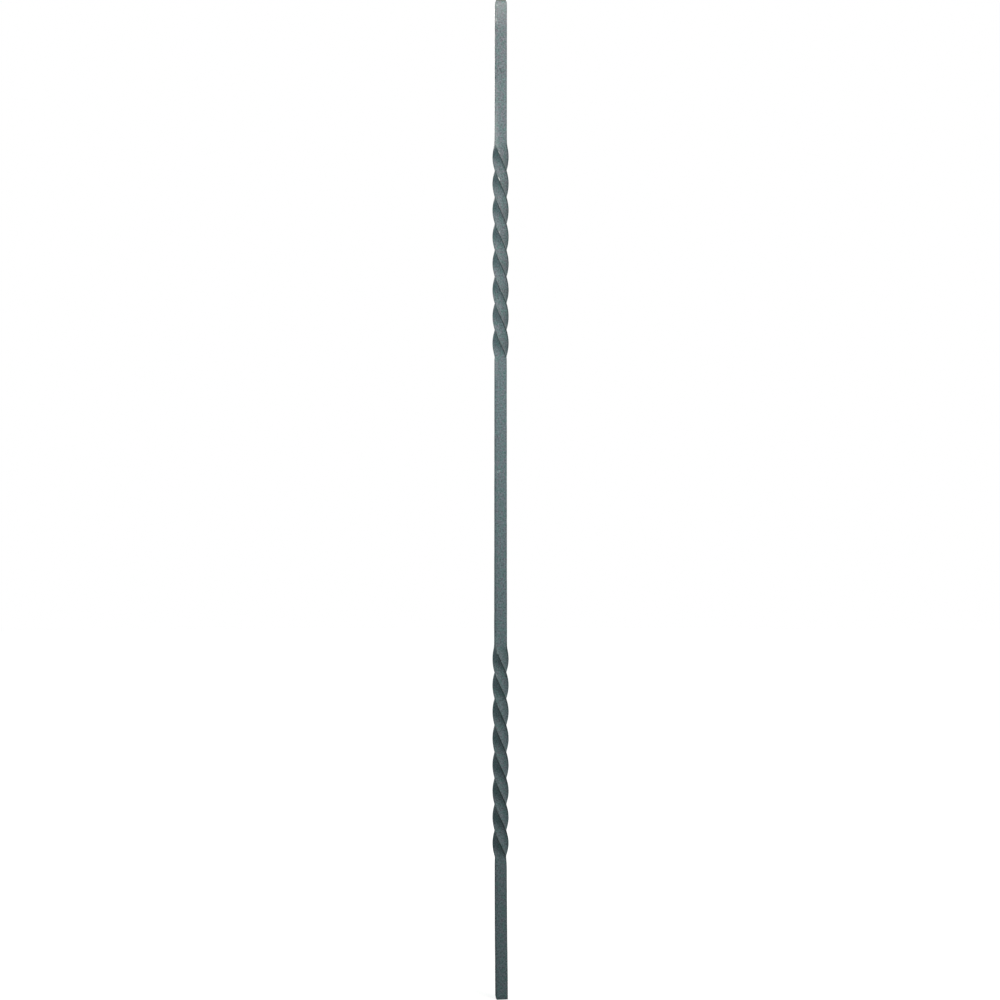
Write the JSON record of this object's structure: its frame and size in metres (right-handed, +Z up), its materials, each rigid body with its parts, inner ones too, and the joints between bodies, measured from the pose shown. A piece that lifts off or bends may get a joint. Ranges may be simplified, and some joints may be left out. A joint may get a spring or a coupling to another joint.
{
  "type": "stair baluster",
  "caption": "Upright square iron bar with left-handed twisted runs between plain runs and bevelled ends, fixed between a stair tread and its handrail.",
  "frame": {"origin": "centre of the bottom end face, on the bar's axis", "axes": "+Z up along the bar, +X and +Y square to its flat sides"},
  "size_m": [0.0164, 0.0164, 1],
  "materials": {
    "iron": "bare hot-rolled bar with dull blue-grey mill scale, not painted"
  },
  "bodies": {
    "root": {"baluster": "iron"}
  },
  "joints": []
}
